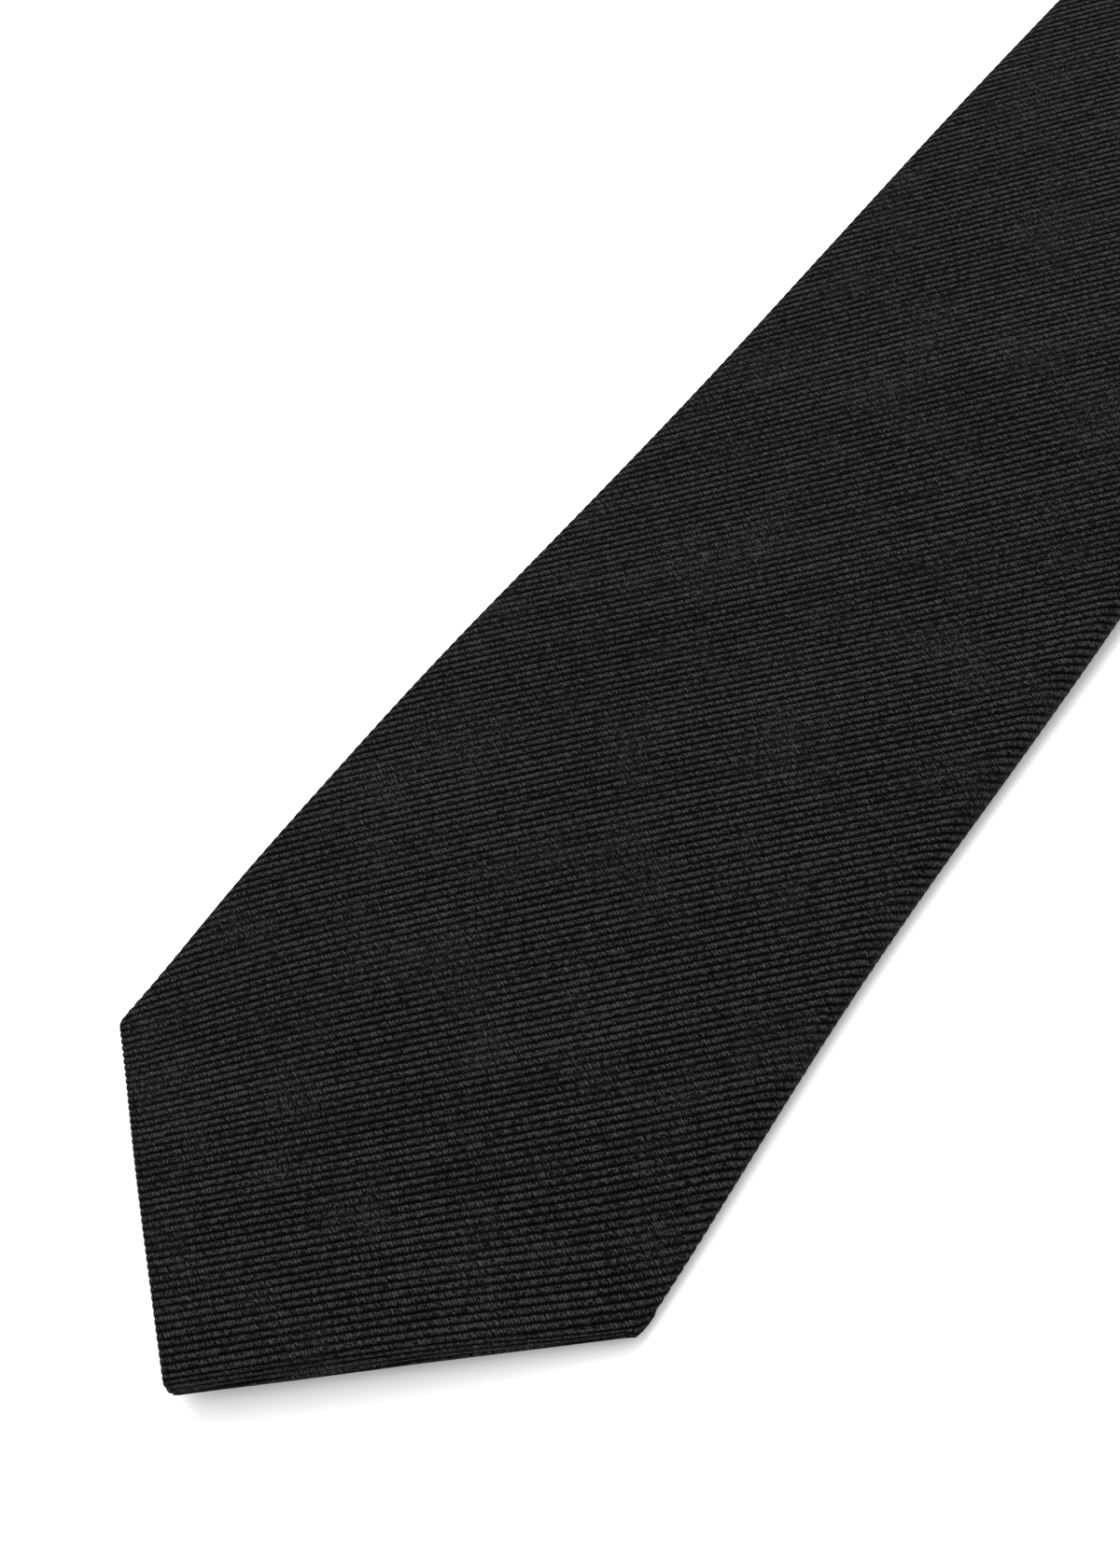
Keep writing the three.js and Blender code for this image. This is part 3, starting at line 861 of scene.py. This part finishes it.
INTERLINING_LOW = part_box("interlining_neck_front")[0].z / MM
INTERLINING_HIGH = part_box("interlining_neck_front")[1].z / MM
interlinings = (
    ("interlining_blade_felt", 0.0, (FOLDS[0] + FOLDS[1]) / 2, ["interlining_blade"], 0),
    ("interlining_neck_felt", (FOLDS[0] + FOLDS[1]) / 2, (FOLDS[1] + FOLDS[2]) / 2,
     ["interlining_neck_front", "interlining_neck_rear"], 1),
    ("interlining_tail_felt", (FOLDS[1] + FOLDS[2]) / 2, LENGTH, ["interlining_tail"], 2),
)
PAIRS = (
    ("blade", "neck_front", "blade_fold"),
    ("neck_front", "neck_rear", "neck_fold"),
    ("neck_rear", "tail", "tail_fold"),
)
FELT_INSET = CLOTH + 1.4
FELT_GAP = 0.2
for name, low, high, nodes, fold in interlinings:
    z_range = (INTERLINING_LOW - 0.1, INTERLINING_HIGH - 0.5)
    obj, area = plate(name, low + FELT_GAP, high - FELT_GAP, *z_range, FELT_INSET)
    dress(obj, FELT_MATERIAL, "interlining", *nodes)
    bend(obj, *PAIRS[fold])


TIPPING_START = 2.4
TIPPING_INSET = 2.3
TIPPING_HEIGHT = 1.05
TIPPING_THICK = 0.15


def tipping(name, node, place, half):
    """The satin lining that shows in a point's open back."""
    low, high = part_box(node)
    span = (high.y - low.y) / MM + 2
    rows = np.linspace(0, 1, 46)
    start = TIPPING_START / SIN
    points, uv = [], []
    for t in rows:
        s = start + t * (span - start)
        wide = min(float(half(s)) - TIPPING_INSET, (s - start) * TAN + 0.2)
        x = np.linspace(-wide, wide, 25)
        pucker = 0.06 * np.sin(x / 2.1 + s / 3.0) * np.sin(s / 4.3)
        points.append(np.stack([x, s + 0 * x, TIPPING_HEIGHT + pucker], -1))
        uv.append(np.stack([x, s + 0 * x], -1))
    top, uv = np.array(points), np.array(uv)
    work = Patchwork()
    down = np.zeros_like(top)
    down[..., 2] = -1
    work.grid(top, down, uv, flip=True, lift_ribs=False)
    obj = work.mesh(name, place)
    solid = obj.modifiers.new("thickness", "SOLIDIFY")
    solid.thickness = TIPPING_THICK * MM
    solid.offset = 0
    dress(obj, LINING_MATERIAL, "lining", node)
    wide = 2 * float(top[:, -1, 0].max())
    return obj


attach(tipping("blade_tipping_satin", "blade_tipping", lie, blade_half), "blade")
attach(tipping("tail_tipping_satin", "tail_tipping", turned_lie, tail_half), "tail")


THREAD_END = 0.35


def tube(work, line, radius, sides=8):
    """A closed thread along line, which holds (x, s, z) points."""
    line = np.array(line, float)
    step = np.gradient(line, axis=0)
    step /= np.linalg.norm(step, axis=1)[:, None]
    up = np.array([0.0, 0.0, 1.0]) + 0 * step
    up[np.abs(step[:, 2]) > 0.95] = (0.0, 1.0, 0.0)
    first = np.cross(up, step)
    first /= np.linalg.norm(first, axis=1)[:, None]
    second = np.cross(step, first)
    turn = np.linspace(0, 2 * math.pi, sides + 1)
    grow = np.ones(len(line))
    grow[[0, -1]] = THREAD_END
    out = first[:, None] * np.cos(turn)[None, :, None] + second[:, None] * np.sin(turn)[None, :, None]
    points = line[:, None] + out * radius * grow[:, None, None]
    run = np.concatenate([[0], np.cumsum(np.linalg.norm(np.diff(line, axis=0), axis=1))])
    uv = np.stack(np.broadcast_arrays(run[:, None], turn[None, :] * radius), -1)
    work.grid(points, out, uv.astype(float), lift_ribs=False, flip=True)


def bar_tack(name, node, body):
    """A short bar of thread wound close over three long stitches."""
    low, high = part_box(node)
    middle = (low + high) / 2
    half = (high.x - low.x) / 2 / MM - 0.3
    x0, s0 = middle.x / MM, station(middle.y)
    z0 = -float(lift(s0)) + low.z / MM + 0.22
    work = Patchwork()
    for k in (-1, 0, 1):
        line = [(x0 + t * half, s0 + 0.24 * k, z0 + 0.05) for t in np.linspace(-1, 1, 7)]
        tube(work, line, 0.13)
    turns = 15
    for k in range(turns):
        x = x0 - half + (k + 0.5) * 2 * half / turns
        arc = np.linspace(-1, 1, 9)
        line = [(x + 0.1 * a, s0 + 0.5 * a, z0 - 0.1 * (1 - a * a) + 0.12 * abs(a) ** 3) for a in arc]
        tube(work, line, 0.14, 6)
    obj = work.mesh(name, lie)
    dress(obj, THREAD_MATERIAL, "thread", node)
    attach(obj, body)


bar_tack("blade_bar_tack_thread", "blade_bar_tack", "blade")
bar_tack("tail_bar_tack_thread", "tail_bar_tack", "tail")

STITCH_PITCH = 7.0
STITCH_LENGTH = 3.2


def slip_stitches(name, low, high, nodes, fold):
    """Slanting hand stitches that catch the lapped edge of the back."""
    work = Patchwork()
    count = int((high - low) / STITCH_PITCH)
    for k in range(count):
        s = low + (k + 0.5) * (high - low) / count
        lean = 0.5 + 0.15 * math.sin(k * 2.4)
        line = []
        for t in np.linspace(-1, 1, 7):
            line.append((-LAP - 0.15 + lean * t, s + t * STITCH_LENGTH / 2, 0.05 + 0.32 * t * t))
        tube(work, line, 0.11, 6)
    obj = work.mesh(name, lie)
    dress(obj, THREAD_MATERIAL, "thread", *nodes)
    bend(obj, *PAIRS[fold])


STITCH_START = station(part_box("slip_stitch_blade")[0].y)
STITCH_END = station(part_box("slip_stitch_tail")[1].y)
slip_stitches("slip_stitches_blade", STITCH_START, (FOLDS[0] + FOLDS[1]) / 2, ["slip_stitch_blade"], 0)
slip_stitches("slip_stitches_neck", (FOLDS[0] + FOLDS[1]) / 2, (FOLDS[1] + FOLDS[2]) / 2,
              ["slip_stitch_neck_front", "slip_stitch_neck_rear"], 1)
slip_stitches("slip_stitches_tail", (FOLDS[1] + FOLDS[2]) / 2, STITCH_END, ["slip_stitch_tail"], 2)


def seam_thread(name, node, seam, body):
    """The machine stitches deep in a bias seam."""
    work = Patchwork()
    inner = float(tie_half(seam)) - ROLL
    count = int(2 * inner / RIB_SIN / 2.4)
    for k in range(count):
        a = -inner + (k + 0.15) * 2 * inner / count
        b = -inner + (k + 0.85) * 2 * inner / count
        line = []
        for t in np.linspace(0, 1, 5):
            x = a + t * (b - a)
            depth = THICKNESS - 1.25 + 0.25 * math.sin(t * math.pi)
            line.append((x, seam + x / math.tan(RIB_ANGLE), depth))
        tube(work, line, 0.12, 6)
    obj = work.mesh(name, lie)
    dress(obj, THREAD_MATERIAL, "thread", node)
    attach(obj, body)


seam_thread("blade_seam_stitches", "blade_seam_thread", BLADE_SEAM, "neck_front")
seam_thread("tail_seam_stitches", "tail_seam_thread", TAIL_SEAM, "neck_rear")


KEEPER_THICK = 0.36
KEEPER_END = 7


def keeper():
    """The self-cloth loop across the back: a flattened tube of ribbed cloth."""
    low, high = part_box("keeper_loop")
    s0, half_band = station((low.y + high.y) / 2), (high.y - low.y) / 2 / MM
    reach = (high.x - low.x) / 2 / MM
    height = float(lift(s0))
    x = np.concatenate([
        np.linspace(-reach, -reach + KEEPER_END, 12),
        np.linspace(-reach + KEEPER_END, reach - KEEPER_END, 60)[1:-1],
        np.linspace(reach - KEEPER_END, reach, 12),
    ])
    rise = smooth(np.abs(x), reach - 6.5, reach - 1.5)
    middle = 0.42 + rise * (height - 0.85) - height
    ring = []
    flat = half_band - KEEPER_THICK
    for side in (1, -1):
        for t in np.linspace(-side, side, 40):
            ring.append((t * flat, side * KEEPER_THICK, 0.0, side * 1.0))
        for a in (0.2, 0.4, 0.6, 0.8)[::side]:
            out, up = side * math.sin(a * math.pi), math.cos(a * math.pi)
            ring.append((side * flat + KEEPER_THICK * out, KEEPER_THICK * up, out, up))
    ring.append(ring[0])
    ring = np.array(ring)
    run = np.concatenate([[0], np.cumsum(np.hypot(*np.diff(ring[:, :2], axis=0).T))])
    points = np.zeros((len(x), len(ring), 3))
    normals = np.zeros_like(points)
    points[..., 0] = x[:, None]
    points[..., 1] = s0 + ring[None, :, 0]
    points[..., 2] = middle[:, None] + ring[None, :, 1]
    normals[..., 1] = ring[None, :, 2]
    normals[..., 2] = ring[None, :, 3]
    uv = np.stack(np.broadcast_arrays(x[:, None], run[None, :]), -1).astype(float)
    work = Patchwork()
    work.grid(points, normals, uv, flip=True)
    obj = work.mesh("keeper_cloth", lie)
    dress(obj, CLOTH_MATERIAL, "cloth", "keeper_loop")
    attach(obj, "blade")
    return s0, half_band, reach


KEEPER_STATION, KEEPER_BAND, KEEPER_REACH = keeper()


KEEPER_STITCHES = 7


def keeper_stitch(name, node, side):
    """A row of small stitches that holds one end of the loop."""
    work = Patchwork()
    x0 = side * (KEEPER_REACH - 1.25)
    for k in range(KEEPER_STITCHES):
        s = KEEPER_STATION + (k - KEEPER_STITCHES // 2) * (2 * KEEPER_BAND - 2.4) / KEEPER_STITCHES
        line = [(x0 + 0.35 * t, s + 0.55 * t, -0.95 + 0.28 * t * t) for t in np.linspace(-1, 1, 7)]
        tube(work, line, 0.13, 6)
    obj = work.mesh(name, lie)
    dress(obj, THREAD_MATERIAL, "thread", node)
    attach(obj, "blade")


keeper_stitch("keeper_stitches_left", "keeper_stitch_left", -1)
keeper_stitch("keeper_stitches_right", "keeper_stitch_right", 1)


LABEL_THICK = 0.2


def label(name, node, depth, body):
    """A blank woven label, flat with a slight ripple."""
    low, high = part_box(node)
    x = np.linspace(low.x / MM, high.x / MM, 41)
    s = np.linspace(station(low.y), station(high.y), 17)
    grid_x, grid_s = np.meshgrid(x, s)
    wave = 0.05 * np.sin(grid_x / 3.1) * np.sin(grid_s / 2.3)
    points = np.stack([grid_x, grid_s, depth + wave], -1)
    down = np.zeros_like(points)
    down[..., 2] = -1
    work = Patchwork()
    work.grid(points, down, np.stack([grid_x, grid_s], -1), flip=True, lift_ribs=False)
    obj = work.mesh(name, lie)
    solid = obj.modifiers.new("thickness", "SOLIDIFY")
    solid.thickness = LABEL_THICK * MM
    solid.offset = 0
    dress(obj, LABEL_MATERIAL, "label", node)
    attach(obj, body)


label("maker_label_satin", "maker_label_blank", -0.32, "blade")
label("care_label_satin", "care_label_blank", 0.62, "blade")

# ---------------------------------------------------------------- table, light and camera


TABLE_REACH = 6.0
TABLE_TOP = -0.0004


def table():
    me = bpy.data.meshes.new("table")
    corners = [(TABLE_REACH * x, TABLE_REACH * y, 0) for x, y in ((-1, -1), (1, -1), (1, 1), (-1, 1))]
    me.from_pydata(corners, [], [(0, 1, 2, 3)])
    obj = bpy.data.objects.new("table", me)
    obj.location.z = TABLE_TOP
    bpy.context.scene.collection.objects.link(obj)
    material, n = new_material("table_white")
    n.finish((0.93, 0.93, 0.93), 0.6, Specular_IOR_Level=0.2)
    me.materials.append(material)
    obj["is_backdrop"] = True


def soft_light(name, place, target, size, power):
    data = bpy.data.lights.new(name, "AREA")
    data.shape = "DISK"
    data.size = size
    data.energy = power
    obj = bpy.data.objects.new(name, data)
    obj.location = place
    obj.rotation_euler = (Vector(target) - Vector(place)).to_track_quat("-Z", "Y").to_euler()
    bpy.context.scene.collection.objects.link(obj)
    obj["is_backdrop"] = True


def sky(strength):
    world = bpy.data.worlds.new("soft_room")
    bpy.context.scene.world = world
    world.use_nodes = True
    background = world.node_tree.nodes["Background"]
    background.inputs["Color"].default_value = (1, 1, 1, 1)
    background.inputs["Strength"].default_value = strength


def camera():
    """Above the blade's right side, turned so that the blade runs to the upper right."""
    place = Vector((0.1525, LOW.y - 0.0323, 0.2297))
    right = Vector((0.75703, 0.59798, -0.26328))
    down = Vector((0.36049, -0.71834, -0.59501))
    forward = Vector((-0.54493, 0.35553, -0.75938))
    data = bpy.data.cameras.new("camera")
    data.lens = 65.8
    data.sensor_width = 36.0
    data.clip_start, data.clip_end = 0.01, 50
    obj = bpy.data.objects.new("camera", data)
    turn = Matrix((right, -down, -forward)).transposed().to_4x4()
    obj.matrix_world = Matrix.Translation(place) @ turn
    bpy.context.scene.collection.objects.link(obj)
    bpy.context.scene.camera = obj


table()
blade_middle = (0.0, LOW.y + 0.1, 0.0)
soft_light("window", (-1.1, LOW.y + 0.5, 1.5), blade_middle, 1.2, 8)
soft_light("overhead", (-0.03, LOW.y + 0.5, 0.45), (0.0, LOW.y + 0.25, 0.0), 0.3, 2.8)
sky(1.45)
camera()
scene = bpy.context.scene
scene.view_settings.view_transform = "Standard"
scene.view_settings.look = "None"

low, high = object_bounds()
